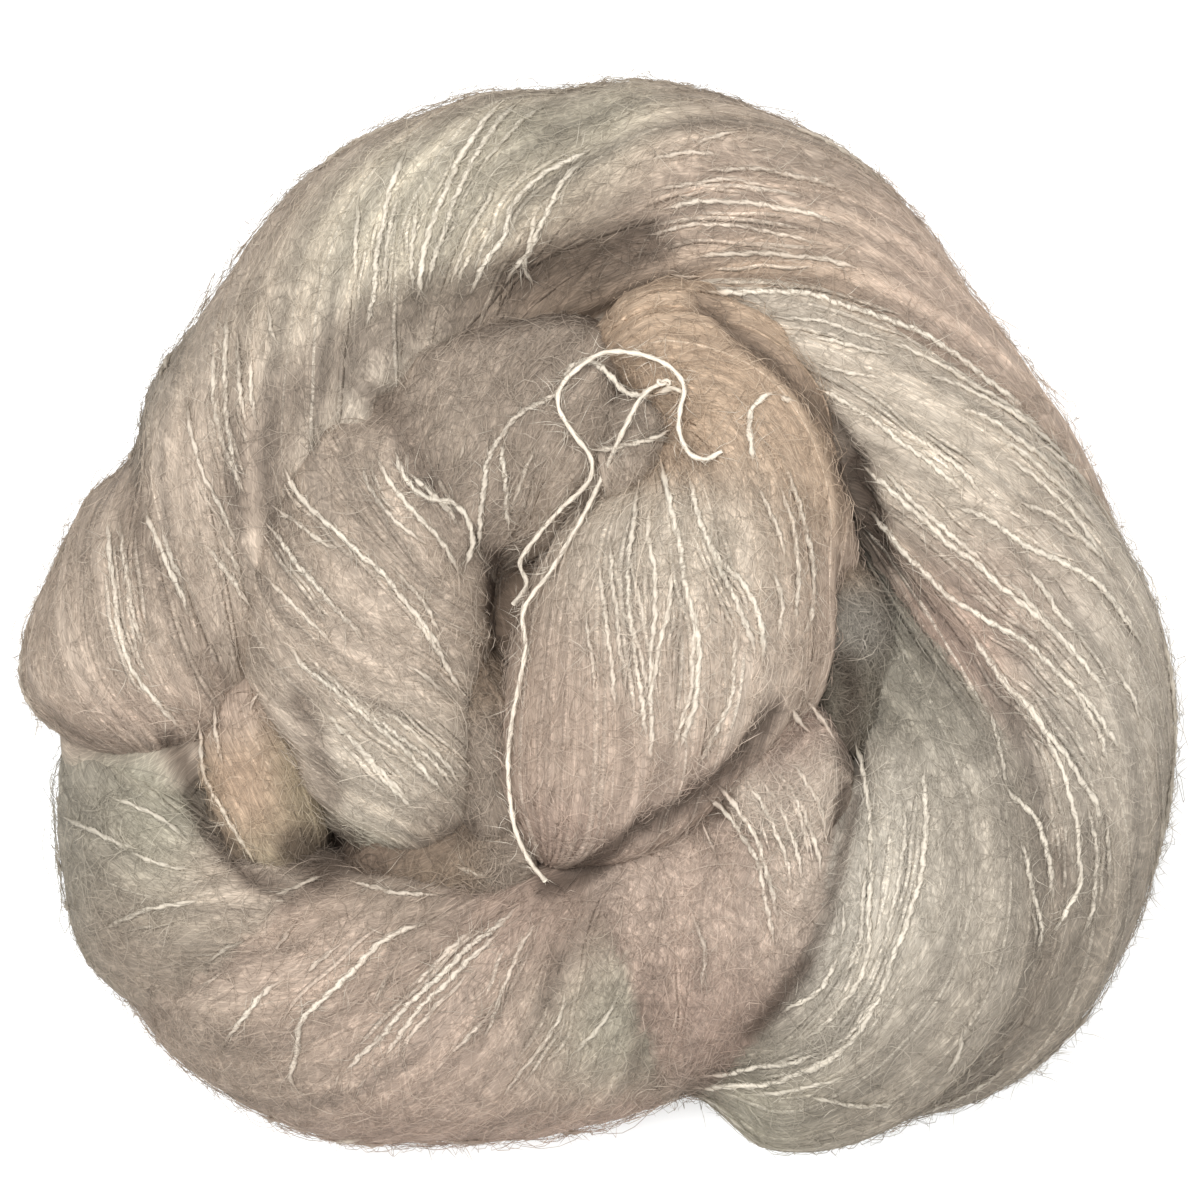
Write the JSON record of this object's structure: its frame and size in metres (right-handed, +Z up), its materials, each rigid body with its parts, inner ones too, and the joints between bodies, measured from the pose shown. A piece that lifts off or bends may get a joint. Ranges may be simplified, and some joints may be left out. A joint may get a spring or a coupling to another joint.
{
  "type": "hank of mohair yarn",
  "caption": "Hank of soft mohair yarn, twisted into a rope and coiled flat into a round rosette, with the loose ends of its tie on top.",
  "frame": {"origin": "on the surface the hank lies on, under the middle of its outline", "axes": "+Z up; +X to the right and +Y away from the viewer, as seen from above with the hank's free left end at the left"},
  "size_m": [0.1495, 0.1385, 0.048],
  "materials": {
    "mohair": "fuzzy undyed mohair and silk, pinkish taupe with cream and grey-green stretches",
    "tie": "soft cream yarn"
  },
  "bodies": {
    "root": {"hank": "mohair", "tie_yarn": "tie", "tie_end": "tie"}
  },
  "joints": []
}
